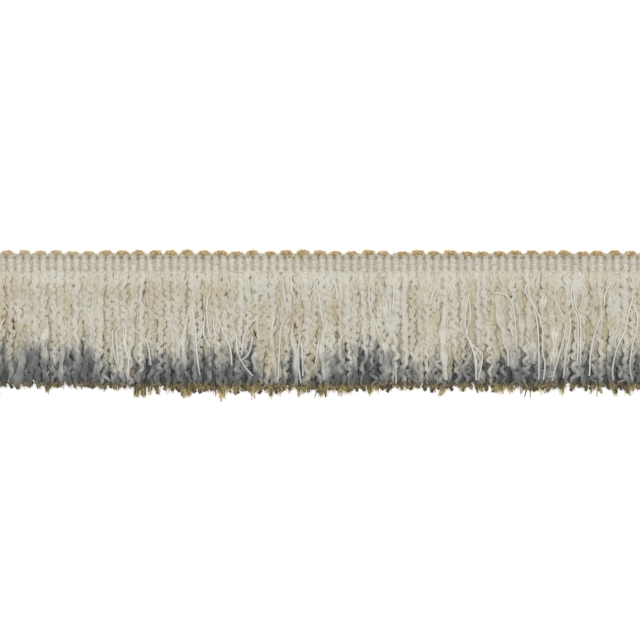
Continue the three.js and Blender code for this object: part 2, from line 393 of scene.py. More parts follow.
def boucle_layer(node, seed, count, steps, half, heights, ends, curl, inset=1.5):
    """One layer's strands: the line, half width and tone of each.

    heights are a strand's centre at the heading and further down, ends is how far it may end above
    the cut, curl is how loosely it hangs and inset keeps the layer off the trim's two ends.
    """
    dice = np.random.default_rng(seed)
    low, high = box_mm(node)
    along = np.linspace(low[0] + inset, high[0] - inset, count)[:, None]
    along = along + dice.uniform(-0.4, 0.4, (count, 1)) * curl
    share = np.linspace(0, 1, steps)[None, :]
    root = high[1] + UNDER_HEADING
    left_long = LEFT_LONG * (dice.uniform(0, 1, (count, 1)) < LONG_SHARE)
    uneven = dice.uniform(*ends, (count, 1)) - left_long
    end = cut_edge(along) + uneven * cut_edge(along, "frayed")
    down = root + (end - root) * share
    run = root - down
    loose = ease(share, 0.5, 0.8) * dice.uniform(0.3, 1.0, (count, 1)) * curl
    curl_phase = waves(dice, run, CURL_EVERY * dice.uniform(0.8, 1.3, (count, 1)), 3.6, 10)
    zigzag_phase = waves(dice, run, ZIGZAG_EVERY, 3.0, 12)
    swing = loose * (1.05 + 0.6 * drift(dice, count, steps, 10)) * np.sin(curl_phase)
    zigzag = dice.uniform(0.25, 0.7, (count, 1)) * (1 - 0.8 * loose) * np.sin(zigzag_phase)
    # neighbours bunch together, and each strand also strays by itself
    clump = 0.7 * share**1.5 * np.sin(along / 1.9 + seed + 1.3 * np.sin(along / 11))
    stray = (0.2 + 0.9 * share) * drift(dice, count, steps, 4) + 0.5 * drift(dice, count, steps, 9)
    place = along + lean(along, share) + (clump + stray) * (0.2 + 0.8 * curl) + swing + zigzag
    rise = ease(share, 0, 0.12)
    height = heights[0] + (heights[1] - heights[0]) * rise + 0.32 * drift(dice, count, steps, 8)
    height = height + dice.uniform(-0.45, 0.45, (count, 1)) * rise
    height = height + loose * 0.6 * np.cos(1.3 * curl_phase) + 0.12 * np.cos(zigzag_phase)
    widths, slub = strand_widths(dice, share, loose)
    tone = dice.uniform(-1, 1, count) + 1.4 * slub[:, 0]
    return {"lines": xyz(place, down, height), "halves": half * widths, "tone": tone,
            "slub": slub, "loose": loose}


back = boucle_layer("skirt_back", seed=11, count=124, steps=56, half=1.95,
                    heights=(0.6, 0.9), ends=(-0.2, 2.0), curl=0.05)
middle = boucle_layer("skirt_middle", seed=37, count=85, steps=90, half=1.58,
                      heights=(1.5, 2.9), ends=(0.4, 2.6), curl=0.65, inset=3.0)
front = boucle_layer("skirt_front", seed=71, count=86, steps=112, half=1.28,
                     heights=(1.9, 3.95), ends=(0.9, 3.0), curl=1.0)
for title, layer in (("back", back), ("middle", middle), ("front", front)):
    cut = layer["lines"][:, -1, 1].round(1)
    print(title, "layer:", len(cut), "strands, which end from", cut.min(), "to", cut.max())

# %% [markdown]
# ## Knobs of slack yarn
#
# The slack ply shows as two columns of knobs, a little left and a little right of the core by
# turns. They give boucle its pebbly face and its staggered pits, which a bump in the finish could
# not do, so each knob is a short fat tube. Only the two upper layers have them, because the back
# one shows only through gaps.

# %% Set knobs left and right by turns
KNOB_PROFILE = np.array([[-1, 0.3], [-0.62, 0.85], [0, 1], [0.62, 0.85], [1, 0.3]])  # place, fullness
KNOB_OVER = 0.3  # how far the uppermost knobs may reach over the top of their strand
WRONG_SIDE = 0.12  # share of knobs that break the turns of left and right


def knobs(layer, seed, spacing, size, sides, flat=1.0):
    """Fat knobs along every strand of a layer, spacing apart and reaching size each way."""
    dice = np.random.default_rng(seed)
    yarns, steps, _ = layer["lines"].shape
    length = np.mean(layer["lines"][:, 0, 1] - layer["lines"][:, -1, 1])
    each = int(length / spacing)
    shape = (yarns, each)
    place = (np.arange(each) + 0.5 + dice.uniform(-0.35, 0.35, shape)) / each
    step = (place * (steps - 1)).astype(int)
    which = np.arange(yarns)[:, None]
    wide = layer["halves"][which, step]
    side = np.where(np.arange(each) % 2, 1, -1)
    side = side * np.where(dice.uniform(0, 1, shape) < WRONG_SIDE, -1, 1)
    beside = side * dice.uniform(0.5, 1.0, shape)
    off = xyz(beside, 0.0, flat * dice.uniform(0.35, 0.85, shape))
    centre = layer["lines"][which, step] + wide[:, :, None] * off
    slant = -side * dice.uniform(-0.15, 0.6, shape)
    axis = unit(xyz(slant, -1.0, dice.normal(0, 0.2, shape)))
    coarse = size * dice.uniform(0.85, 1.35, (yarns, 1))
    axis = axis * (coarse * dice.uniform(0.8, 1.25, shape))[:, :, None]
    highest = layer["lines"][:, :1, 1] + KNOB_OVER + axis[:, :, 1]
    centre[:, :, 1] = np.minimum(centre[:, :, 1], highest)  # so that none lies on the heading
    lines = centre[:, :, None, :] + axis[:, :, None, :] * KNOB_PROFILE[:, :1]
    plump = dice.uniform(0.44, 0.7, (yarns, 1)) * dice.uniform(0.75, 1.2, shape)
    plump = plump * np.where(layer["slub"], 0.5, 1) * (1 - 0.5 * layer["loose"][which, step])
    half = (flat * plump * wide)[:, :, None] * KNOB_PROFILE[:, 1]
    tone = layer["tone"][:, None] + dice.uniform(-0.5, 0.5, shape)
    rings = len(KNOB_PROFILE)
    half = half.reshape(-1, rings)
    return tubes(lines.reshape(-1, rings, 3), half, half, sides, tone.ravel())


def strands(layer, sides, flat=1.0):
    """A layer's strands as tubes, pressed flat and never lower than the table."""
    lines = layer["lines"].copy()
    depth = flat * layer["halves"]
    lines[:, :, 2] = np.maximum(lines[:, :, 2], depth + CLEARANCE)
    return tubes(lines, layer["halves"], depth, sides, layer["tone"])


BACK_FLAT = 0.4  # the back layer lies on the table and is pressed the most
MIDDLE_FLAT = 0.7  # the middle one is pressed less
boucle_back = join_tubes("boucle_back", [strands(back, 5, BACK_FLAT)])
boucle_middle = join_tubes("boucle_middle", [strands(middle, 6, MIDDLE_FLAT)])
boucle_front = join_tubes("boucle_front", [strands(front, 6)])
front_knob_tubes = knobs(front, seed=6, spacing=1.35, size=1.2, sides=6)
middle_knob_tubes = knobs(middle, seed=5, spacing=1.55, size=1.3, sides=5, flat=MIDDLE_FLAT)
front_knobs = join_tubes("front_knobs", [front_knob_tubes])
middle_knobs = join_tubes("middle_knobs", [middle_knob_tubes])

# %% [markdown]
# ## Soft locks
#
# Here and there the yarn has a slub, a stretch where the fibres were never twisted. It shows as a
# smooth, wide lock among the knobs. A lock is built as it is in life: a soft core, and over it many
# fine fibres that run side by side and drift apart at the ends.

# %% Build each lock from fibres
SOFT_LOCKS = table(  # upper and lower end in X, then in Y, the width and the shade
    "x foot top bottom wide tone",
    (-108, -110.0, -9.0, -23.0, 4.0, -0.9),
    (-100, -99.0, 2.0, -15.0, 3.7, 0.1),
    (-94, -93.0, -8.0, -22.5, 2.1, -0.4),
    (-49, -48.2, 3.0, -17.0, 2.2, 0.0),
    (-23.2, -22.4, -10.5, -18.0, 2.6, -0.3),
    (-16.4, -15.6, 4.0, -22.0, 2.0, 0.1),
    (-8.6, -8.4, -1.0, -23.0, 2.4, 0.0),
    (1.6, 2.4, 0.0, -21.0, 2.4, -0.3),
    (23.2, 24.6, 17.5, -4.0, 2.7, -0.7),
    (24.0, 25.0, -6.0, -22.0, 2.4, -0.8),
    (45.6, 46.6, 8.0, -21.0, 3.0, 0.5),
    (66.0, 71.0, 12.0, -17.0, 4.2, -0.2),
    (73.5, 73.8, 8.0, -9.0, 3.0, 0.0),
    (78.6, 78.0, -4.0, -15.0, 4.0, 0.2),
    (81.5, 81.8, 11.0, 3.0, 3.2, 0.6),
    (86.2, 84.6, 5.0, -20.0, 4.3, 1.0),
    (104.0, 102.0, 12.0, -6.0, 2.2, 0.1),
    (-122.0, -121.0, 8.0, -14.0, 2.4, 0.0),
    (122.5, 121.0, 9.0, -18.0, 2.4, 0.2),
)
FIBRES_IN_A_LOCK = 24
LOCK_BED = 3.7  # height of the strands that a lock lies on


def soft_lock(row, dice):
    """A lock's core and its fibres, as two families of tubes."""
    steps = 24
    share = np.linspace(0, 1, steps)[None, :]
    down = row["top"] + (row["bottom"] - row["top"]) * share
    swells = 0.82 + 0.26 * np.sin(2 * math.pi * down / 8.5 + dice.uniform(0, 6))
    full = np.sin(math.pi * np.clip(share, 0.04, 0.96)) ** 0.3
    wide = 0.5 * row["wide"] * full * swells * (1 + 0.1 * drift(dice, 1, steps, 6))
    bow = 0.7 * np.sin(math.pi * 1.6 * share + row["x"]) + 0.25 * np.sin(9 * share + row["x"])
    middle_x = row["x"] + (row["foot"] - row["x"]) * share**1.5 + bow
    face = LOCK_BED + 1.1 * full
    deep = 0.3 + 0.62 * wide
    core = tubes(xyz(middle_x, down, face), wide, deep, 12, row["tone"])
    spread = dice.uniform(-1, 1, (FIBRES_IN_A_LOCK, 1))
    wave = 0.1 * np.sin(2 * math.pi * (down / 2.4 + dice.uniform(0, 1, (FIBRES_IN_A_LOCK, 1))))
    fibre_x = middle_x + spread * wide * (1 + 0.12 * share)
    fibre_x = fibre_x + wave + 0.1 * drift(dice, FIBRES_IN_A_LOCK, steps, 6)
    over = face + deep * np.sqrt(1 - 0.92 * spread**2) - 0.02
    over = over + 0.05 * drift(dice, FIBRES_IN_A_LOCK, steps, 8)
    longer = dice.uniform(-1.2, 1.2, (FIBRES_IN_A_LOCK, 1))
    fibre_y = down - longer * share + 0.8 * dice.uniform(-1, 1, (FIBRES_IN_A_LOCK, 1))
    lines = xyz(fibre_x, fibre_y, over)
    half = 0.12 * (1 - 0.6 * ease(share, 0.8, 1.0)) * (0.4 + 0.6 * ease(share, 0, 0.15))
    tone = row["tone"] + dice.uniform(-0.5, 0.5, FIBRES_IN_A_LOCK)
    return [core, tubes(lines, half, half, 3, tone)]


lock_dice = np.random.default_rng(23)
lock_parts = [part for row in SOFT_LOCKS for part in soft_lock(row, lock_dice)]
soft_locks = join_tubes("soft_locks", lock_parts)

# %% [markdown]
# ## Smooth threads
#
# A few firm, bright threads were woven in with the boucle. They have no slack yarn, so they lie
# over the skirt in long clean bends, singly or in pairs. Each is a smooth curve through a few
# given points, at a set height over the skirt that drops near the heading.

# %% Draw each thread through its points
THREADS = [  # each row is one thread, its points in X and Y from the top down
    [(-46.1, 6.7), (-44.6, -3.8), (-44.2, -10.8), (-43.1, -19.1)],
    [(-41.3, 2.7), (-41.7, -3.8), (-40.6, -6.7), (-39.3, -9.1)],
    [(-39.9, 10.8), (-40.6, 4.2), (-39.9, -2.7), (-38.8, -5.7)],
    [(-37.3, 3.5), (-35.1, -2.4), (-32.2, -8.9), (-31.5, -15.5)],
    [(-38, 2.7), (-38, -2), (-36.9, -5.3)],
    [(-21.3, 2.7), (-25.6, -1.6), (-27.5, -7.5), (-27.8, -11.9)],
    [(-22.4, 2), (-22, -3.8), (-21.3, -6.4)],
    [(-29.8, -3.8), (-29.3, -10.8), (-27.1, -15.5), (-23.8, -19.5)],
    [(-23.8, -4.9), (-25.1, -10.8), (-27.8, -13.7)],
    [(-12.9, 14.4), (-12.1, 8.2), (-11.4, 3.5), (-13.6, -2), (-14, -7.5), (-14.7, -21.3)],
    [(-10, 18.1), (-9.6, 12.2), (-8.5, 8.6)],
    [(-40.6, 17.3), (-39.3, 14)],
    [(-33.7, 18.1), (-32.2, 12.2)],
    [(-0.1, 11.1), (1, 4.2), (1.4, 0.2)],
    [(5.4, 16.2), (6.8, 11.5), (6.8, 8.2)],
    [(19.6, 18.1), (18.5, 12.2), (18.9, 4.9), (21, -0.9), (22.5, -6)],
    [(26.5, 17), (27.5, 12.9), (27.2, 4.9)],
    [(-6.3, -3.8), (-7, -7.5), (-7.4, -13.7), (-6.3, -22.1)],
    [(-6.3, -6.7), (-5.8, -11.5), (-5.6, -19.5)],
    [(0.3, -6), (-1, -14.8)],
    [(28.3, -14.4), (28.3, -22.1)],
    [(42.2, 12.2), (40.7, 6.7)],
    [(55, 10.8), (53.5, 2.7), (53.9, -3.8), (56.8, -11.9), (57.5, -21)],
    [(55, 8.6), (55.3, 1.6), (54.2, -5.3), (59, -11.1), (59.7, -13.3), (58.2, -21)],
    [(55, -6), (56.8, -11.1), (57.9, -15.9)],
    [(63.7, 10.8), (68.1, 10), (70.7, 6.4), (71.7, 0.2), (72.1, -9.7)],
    [(66.3, 0.5), (68.5, -7.1), (69.2, -15.9)],
    [(69.2, 0.2), (71, -5.3)],
    [(77.2, 15.5), (75.4, 11.5), (78.3, 5.7), (79.8, -1.3), (80.3, -11.9), (80.3, -21)],
    [(77.2, 14), (76.5, 10.8), (79.4, 4.6), (81.6, -2.4), (81.6, -10.4), (82.5, -15.1), (82, -21)],
    [(89.3, 15.5), (86.2, 10.8), (87.1, 6.4), (90, 0.2), (89.3, -6), (86.7, -15.1), (85.2, -21.3)],
    [(91.1, 4.6), (91.8, -2.4), (90, -11.9), (89.3, -20.2)],
    [(95.5, 15.5), (92.2, 12.2), (92.5, 6.4), (94.4, 0.5), (94.4, -14.4)],
    [(96.4, 15.3), (93.2, 11.8), (93.6, 6.2), (95.4, 0.2), (95.4, -14.8)],
    [(103.8, 4.2), (100.9, -3.1), (99.1, -11.1), (98.7, -19.5)],
    [(107.7, 15.9), (104.6, 10.8), (104.2, 6)],
    [(115.2, 11.9), (113, 3.5), (111.5, -3.1), (108.6, -9.7), (107.1, -17), (107.5, -21)],
    [(115.2, 5.7), (116.2, 0.2), (114.1, -9.7), (113.5, -17), (114.4, -21)],
    [(-74.9, -2.7), (-74.5, -10), (-73.1, -15.5)],
    [(-73.4, -2.7), (-73.2, -9), (-72.7, -14.8)],
    [(-70.9, -2.7), (-70.5, -8.6), (-69.2, -12.6), (-69.2, -19.1)],
    [(-69.8, -2), (-70.1, -6), (-69.8, -10.8)],
    [(-69, 0.9), (-66.7, -2.7), (-63.9, -5.3), (-61.9, -8.6), (-61, -15.5)],
    [(-114.2, 1.4), (-115.6, -1.2), (-116.8, -4.5)],
    [(-121, 12), (-122.4, 2), (-121.8, -9), (-120.8, -19)],
    [(123.4, 12), (121.8, 2), (122.6, -8), (121.4, -18)],
]
THREAD_HALF = 0.33  # half the thickness of a thread
THREAD_STEPS = 44


def smooth_through(points, steps):
    """A curve that passes through every point and is evenly stepped between them."""
    known = np.array([points[0], *points, points[-1]], float)
    place = np.linspace(0, len(points) - 1, steps)
    knot = np.minimum(place.astype(int), len(points) - 2)
    part = (place - knot)[:, None]
    before, here, there, after = (known[knot + shift] for shift in range(4))
    bend = here * 2 + (there - before) * part
    bend = bend + (2 * before - 5 * here + 4 * there - after) * part**2
    bend = bend + (3 * here - before - 3 * there + after) * part**3
    return bend / 2


thread_dice = np.random.default_rng(41)
flat_lines = np.array([smooth_through(row, THREAD_STEPS) for row in THREADS])
share = np.linspace(0, 1, THREAD_STEPS)[None, :]
settle = ease(share, 0, 0.12) * (1 - 0.6 * ease(share, 0.9, 1))
thread_height = 4.9 + 1.0 * settle + 0.12 * drift(thread_dice, len(THREADS), THREAD_STEPS, 6)
thread_height = thread_height - 1.9 * ease(flat_lines[:, :, 1], 11, 18.5)  # lower near the heading
thread_lines = np.concatenate([flat_lines, thread_height[:, :, None]], axis=-1)
thread_half = THREAD_HALF * (1 + 0.1 * drift(thread_dice, len(THREADS), THREAD_STEPS, 12))
thread_tone = thread_dice.uniform(-0.4, 0.8, len(THREADS))
thread_tubes = tubes(thread_lines, thread_half, thread_half, 6, thread_tone)
smooth_threads = join_tubes("smooth_threads", [thread_tubes])

# %% [markdown]
# ## The woven heading
#
# The heading is a crochet band: every weft yarn runs up and down once and so makes two upright
# ribs, and fine warp chains cross them and pull a dip into each rib. The ribs are lumpy flat tubes.
# The chains are separate fine threads that ride over each rib and dive between it and the next.
# Pale fibres stand out of the top edge, where they soften the notches between the loops.

# %% Raise the ribs and run the chains across them
(heading_left, heading_foot, _), (heading_right, heading_top, _) = box_mm("heading")
RIBS = 86
RIB_PITCH = (heading_right - heading_left) / RIBS
LOOPS = RIBS // 2  # one loop stands over each pair of ribs
LOOP_PITCH = 2 * RIB_PITCH
LOOP_SHIFT = 0.3  # how far the loops, and the notches between them, are pushed to the right
CHAINS = table(  # share of the way down where a chain crosses, how deep it pulls, and its size
    "at pull half",
    (0.3, 0.16, 0.3),
    (0.62, 0.2, 0.36),
    (0.95, 0.1, 0.36),
)
RIB_HALF = 1.34  # half the width of a rib
RIB_RISE = 1.28  # half its thickness
RIB_MIDDLE = 1.25  # height of its middle line
RIB_OVER = 0.55  # how far a rib reaches up between the feet of the loops
FINE_THREAD = 3.0  # a tone which tells the finish that this is a fine bright thread
NOTCH_FIBRE = 6.0  # a tone which tells it that this is a pale fibre in a notch
rib_x = heading_left + (np.arange(RIBS) + 0.5) * RIB_PITCH


def pinch(share):
    """How far the chains pull a rib in, at a share of its length."""
    return sum(row["pull"] * np.exp(-(((share - row["at"]) / 0.05) ** 2)) for row in CHAINS)


def heading_ribs(dice):
    """Lumpy flat tubes, one for each upright rib."""
    steps = 28
    share = np.linspace(0, 1.12, steps)[None, :]
    start = heading_top + RIB_OVER
    down = start - share * (start - heading_foot)
    place = rib_x[:, None] + 0.2 * drift(dice, RIBS, steps, 4)
    height = RIB_MIDDLE - 0.2 * ease(share, 1.02, 1.12) + 0.05 * drift(dice, RIBS, steps, 6)
    closed = 0.3 + 0.7 * np.sqrt(ease(share, -0.02, 0.1) * (1 - ease(share, 1.04, 1.13)))
    lumps = 1 - pinch(share) + 0.12 * drift(dice, RIBS, steps, 12)
    rise = RIB_RISE * lumps * closed
    height = np.maximum(height, rise + CLEARANCE)
    wide = RIB_HALF * (0.8 + 0.2 * lumps) * closed * dice.uniform(0.92, 1.04, (RIBS, 1))
    return tubes(xyz(place, down, height), wide, rise, 10, dice.uniform(-1, 1, RIBS))


def heading_chains(dice):
    """Fine threads that ride over each rib and dive between it and the next."""
    steps = RIBS * 6 + 1
    along = np.linspace(heading_left + 0.2, heading_right - 0.2, steps)
    phase = 2 * math.pi * (along - rib_x[0]) / RIB_PITCH
    over = 0.5 + 0.5 * np.cos(phase)
    families = []
    for row in CHAINS:
        for shift in (-1, 1):
            top = RIB_MIDDLE + RIB_RISE * (1 - row["pull"]) + 0.02
            height = top - 1.1 * (1 - over) ** 0.9
            across = heading_top - row["at"] * (heading_top - heading_foot)
            across = across + shift * row["half"] * np.cos(phase / 2 + 0.4)
            across = across + 0.12 * drift(dice, 1, steps, RIBS)[0]
            line = xyz(along, across, height)[None]
            wide = row["half"] * (0.6 + 0.5 * over)
            families.append(tubes(line, wide, row["half"] * 0.9, 5, FINE_THREAD))
    return families


def heading_ground():
    """The flat woven ground that shows as a dark line between two ribs, where it lies in shade and
    the finish also paints shade low down.
    """
    steps = 160
    along = np.linspace(heading_left + 0.1, heading_right - 0.1, steps)
    middle_y = (heading_top + heading_foot) / 2 - 0.4
    reach = (heading_top - heading_foot) / 2 + 0.2
    height, depth = 0.85, 0.8  # of its middle line, and half its thickness
    return tubes(xyz(along, middle_y, height)[None], reach, depth, 12, -1.0)


def notch_fuzz(dice, each):
    """Fine pale fibres that close the notch between two loops."""
    notch = heading_left + LOOP_PITCH * np.arange(1, LOOPS) + LOOP_SHIFT
    aside = dice.normal(0, 0.6, (notch.size * each, 1))
    share = np.linspace(0, 1, 3)[None, :]
    place = np.repeat(notch, each)[:, None] + aside + dice.normal(0, 0.7, aside.shape) * share
    rise = dice.uniform(0.4, 1.5, aside.shape) * (1 - 0.5 * np.minimum(np.abs(aside), 1))
    across = heading_top + 0.1 + rise * share
    height = 1.5 + dice.normal(0, 0.35, aside.shape) * (0.5 + share)
    half = dice.uniform(0.07, 0.12, aside.shape) * (1 - 0.5 * share)
    lines = xyz(place, across, np.maximum(height, half + CLEARANCE))
    return tubes(lines, half, half, 3, NOTCH_FIBRE)


heading_dice = np.random.default_rng(57)
heading_parts = [heading_ground(), heading_ribs(heading_dice), *heading_chains(heading_dice),
                 notch_fuzz(heading_dice, each=26)]
woven_heading = join_tubes("woven_heading", heading_parts)

# %% [markdown]
# ## The tan loops
#
# At the top each weft turns back on itself, and a thicker tan yarn turns with it. That makes one
# plump loop over each pair of ribs. The yarn has two plies, so a loop is two fat tubes that twist
# round one arch. They are so tight that the arch shows no hole.

# %% Bend two plies over each pair of ribs
LOOP_PLY = 0.68  # half the thickness of one ply
LOOP_HAIR = 0.085  # half the thickness of a golden fibre that stands off it
LOOP_MIDDLE = 1.9  # height of the arch's middle line
LOOP_SEED = 63  # shared, so that the cores and the hairs fit the arches of the plies
loop_x = heading_left + (np.arange(LOOPS) + 0.5) * LOOP_PITCH + LOOP_SHIFT
loop_foot = heading_top - 0.25  # each arch begins a little below the heading's edge


def loop_arch(dice, steps):
    """Each loop's arch: angle along it, centre, half width, rise and sideways tilt."""
    angle = np.linspace(-0.5, math.pi + 0.5, steps)[None, :]
    centre = loop_x[:, None] + dice.uniform(-0.3, 0.3, (LOOPS, 1))
    half = dice.uniform(1.2, 1.55, (LOOPS, 1))
    rise = dice.uniform(0.75, 1.4, (LOOPS, 1))
    return angle, centre, half, rise, dice.uniform(-0.35, 0.35, (LOOPS, 1))


def squarer(wave):
    """A sine or cosine with a flatter top, so that a loop is wide and low like a bean."""
    return np.sign(wave) * np.abs(wave) ** 0.72


def loop_plies(dice):
    """Two fat plies that twist round one arch, for every loop."""
    steps = 26
    angle, centre, half, rise, tilt = loop_arch(dice, steps)
    twist_start = dice.uniform(0, 6, (LOOPS, 1))
    families = []
    for ply in (0, math.pi):
        twist = ply + 1.6 * angle + twist_start
        out = 0.3 * np.cos(twist)
        place = centre + tilt * np.sin(angle) - (half + out) * squarer(np.cos(angle))
        across = loop_foot + (rise + 0.7 * out) * squarer(np.sin(angle))
        height = LOOP_MIDDLE + 0.3 * np.sin(twist) - 0.3 * np.abs(np.cos(angle)) ** 4
        lines = xyz(place, across, height)
        wide = LOOP_PLY * (1 + 0.07 * drift(dice, LOOPS, steps, 5))
        families.append(tubes(lines, wide, wide, 8, dice.uniform(-1, 1, LOOPS)))
    return families


def loop_cores(dice):
    """The crushed inside of each loop, which fills its arch."""
    steps = 9
    _, centre, half, rise, tilt = loop_arch(dice, steps)
    share = np.linspace(-1, 1, steps)[None, :]
    round_end = np.sqrt(1 - 0.9 * share**2)
    place = centre + 0.5 * tilt + share * half
    lines = xyz(place, loop_foot + 0.3 * rise - 0.1, 1.35)
    wide = (0.45 + 0.35 * rise) * round_end
    return tubes(lines, wide, 0.75 * round_end, 8, dice.uniform(-1, 1, LOOPS))


def loop_hairs(dice, each):
    """Short golden fibres that stand off the outside of each loop."""
    _, centre, half, rise, tilt = loop_arch(np.random.default_rng(LOOP_SEED), each)
    angle = dice.uniform(-0.15, math.pi + 0.15, (LOOPS, each))
    share = np.linspace(0, 1, 4)
    lean_along = dice.normal(0, 0.5, (LOOPS, each))
    reach = LOOP_PLY + 0.12 + dice.uniform(0.05, 0.65, (LOOPS, each))[:, :, None] * share
    turn = angle[:, :, None] + (0.5 * lean_along[:, :, None]) * share
    place = (centre + tilt * np.sin(angle))[:, :, None]
    place = place - (half[:, :, None] + reach) * squarer(np.cos(turn))
    across = loop_foot + (rise[:, :, None] + reach) * squarer(np.sin(turn))
    height = 1.6 + dice.normal(0, 0.3, (LOOPS, each, 1))
    lines = xyz(place, across, height).reshape(-1, 4, 3)
    return tubes(lines, LOOP_HAIR, LOOP_HAIR, 3, FINE_THREAD)


loop_parts = [*loop_plies(np.random.default_rng(LOOP_SEED)),
              loop_cores(np.random.default_rng(LOOP_SEED)),
              loop_hairs(np.random.default_rng(64), each=48)]
tan_loops = join_tubes("tan_loops", loop_parts)

# %% [markdown]
# ## Frayed tips
#
# Shears leave each strand open at its end. Its fine fibres spread in a small golden fan, and
# short olive stubs of ply stay between them. The shears missed a few cores, which hang out of the
# edge whole, so a table places those one by one. The fringe is frayed less at the left.

# %% Fan out the fibres at each tip
def frayed(layer, seed, count, reach, halves, tones):
    """Tapered fibres that fan out at the ends of a layer's strands."""
    dice = np.random.default_rng(seed)
    strands_here = len(layer["lines"])
    which = dice.integers(0, strands_here, count)
    foot = layer["lines"][which, -3]
    share = np.linspace(0, 1, 4)[None, :]
    spread = dice.normal(0, 0.55, (count, 1))
    tuft = 0.66 + 0.4 * np.sin(foot[:, :1] / 1.3 + 2 * np.sin(foot[:, :1] / 4.3))
    tuft = tuft * cut_edge(foot[:, :1], "frayed")
    left_on = dice.uniform(0.4, 1.2, strands_here)[which][:, None]
    length = dice.uniform(*reach, (count, 1)) * left_on * tuft
    slant = dice.normal(0, 0.5, strands_here)[which][:, None]
    place = foot[:, :1] + spread * (0.9 + 0.6 * share) + slant * share
    place = place + 0.3 * dice.normal(0, 1, (count, 1)) * share**2
    down = foot[:, 1:2] + 0.7 - length * share
    height = foot[:, 2:3] + dice.normal(0, 0.3, (count, 1)) * (0.6 + share)
    half = dice.uniform(*halves, (count, 1)) * (1 - 0.4 * share)
    lines = xyz(place, down, np.maximum(height, half + CLEARANCE))
    return tubes(lines, half, half, 3, dice.uniform(*tones, (count, 1)) + 0.8 * share - 0.4)


FINE = {"halves": (0.06, 0.13), "tones": (-0.4, 1.0)}  # the golden fibres
STUB = {"halves": (0.2, 0.34), "tones": (-1.0, 0.3)}  # the olive stubs of ply
tip_parts = [frayed(back, seed=81, count=1500, reach=(1.0, 4.6), **FINE),
             frayed(middle, seed=82, count=1200, reach=(1.0, 4.4), **FINE),
             frayed(front, seed=83, count=1000, reach=(1.0, 4.2), **FINE),
             frayed(back, seed=84, count=340, reach=(1.6, 5.2), **STUB),
             frayed(middle, seed=85, count=220, reach=(1.6, 5.0), **STUB)]
CORE_START = -22.6  # where the missed cores come out from under the curls
FIBRES_ON_A_CORE = 9


def stout_end(row, dice):
    """One strand's core that hangs out of the edge, with a blunt end and a few fibres round it."""
    steps = 8
    share = np.linspace(0, 1, steps)[None, :]
    down = CORE_START + (row["low"] - CORE_START) * share
    place = row["x"] + row["slant"] * share**2 + 0.12 * drift(dice, 1, steps, 3)
    line = xyz(place, down, 1.9 + 0.4 * share)
    blunt = 1 - 0.75 * ease(share, 0.93, 1.0)
    core = tubes(line, 0.5 * row["wide"] * blunt, 0.35 * row["wide"] * blunt, 8, 0.5 * share - 1.2)
    spread = dice.uniform(-0.6, 0.6, (FIBRES_ON_A_CORE, 1)) * row["wide"]
    lines = line + xyz(spread, dice.normal(0, 0.5, spread.shape) * share, 0.4 * row["wide"])
    tone = dice.uniform(-1.2, 0.2, spread.shape) + 0.6 * share
    return [core, tubes(lines, 0.1, 0.1, 3, tone)]


STOUT_ENDS = table(  # middle, lower end and width of each, and how far it slants to the right
    "x low wide slant",
    (-117.6, -26.1, 1.0, 0.5),
    (-99.0, -25.6, 1.3, -0.3),
    (-66.3, -27.2, 1.9, -0.2),
    (-64.1, -27.2, 1.7, 0.1),
    (-49.6, -27.4, 1.4, 0.3),
    (-47.2, -26.8, 1.9, -0.4),
    (-35.2, -27.4, 1.9, 0.1),
    (-17.6, -27.0, 1.6, 0.4),
    (-7.0, -26.9, 0.9, -0.3),
    (1.0, -26.8, 1.1, 0.2),
    (10.4, -25.6, 1.6, 0.9),
    (18.4, -26.0, 1.5, 0.5),
    (46.0, -26.5, 1.5, -1.5),
    (66.0, -25.2, 1.2, -0.8),
    (74.6, -25.8, 0.9, -0.5),
    (83.6, -25.3, 1.7, 0.5),
    (89.4, -25.9, 0.8, 0.0),
    (108.5, -26.2, 1.5, 0.4),
)
for row in STOUT_ENDS:
    own_dice = np.random.default_rng(int(1000 + row["x"]))  # so that a row can change alone
    tip_parts.extend(stout_end(row, own_dice))
frayed_tips = join_tubes("frayed_tips", tip_parts)

# %% [markdown]
# ## Loose fuzz
#
# Spun yarn has a halo of fibre ends. They are far finer than a strand, and yet they decide whether
# it looks soft or like clay. Short bent hairs leave the two upper layers at every angle, though
# most are combed down.

# %% Let short hairs stand out of the strands
def fuzz(layer, seed, count, length):
    """Short bent hairs that grow out of a layer's strands."""
    dice = np.random.default_rng(seed)
    yarns, steps, _ = layer["lines"].shape
    which = dice.integers(0, yarns, count)
    foot = layer["lines"][which, (steps * dice.uniform(0.02, 0.97, count) ** 0.8).astype(int)]
    outward = unit(xyz(dice.normal(0, 0.8, count), dice.normal(-0.8, 0.7, count),
                       np.abs(dice.normal(0.2, 0.7, count))))
    bend = dice.normal(0, 0.45, (count, 3))
    share = np.linspace(0, 1, 3)[None, :, None]
    grow = dice.uniform(*length, (count, 1, 1))
    lines = foot[:, None, :] + outward[:, None, :] * (0.4 + grow * share)
    lines = lines + bend[:, None, :] * grow * share**2
    half = dice.uniform(0.05, 0.09, (count, 1)) * (1 - 0.5 * share[:, :, 0])
    return tubes(lines, half, half, 3, layer["tone"][which])


fuzz_parts = [fuzz(front, seed=91, count=4800, length=(0.8, 2.6)),
              fuzz(middle, seed=92, count=1200, length=(0.8, 2.4))]
yarn_fuzz = join_tubes("yarn_fuzz", fuzz_parts)
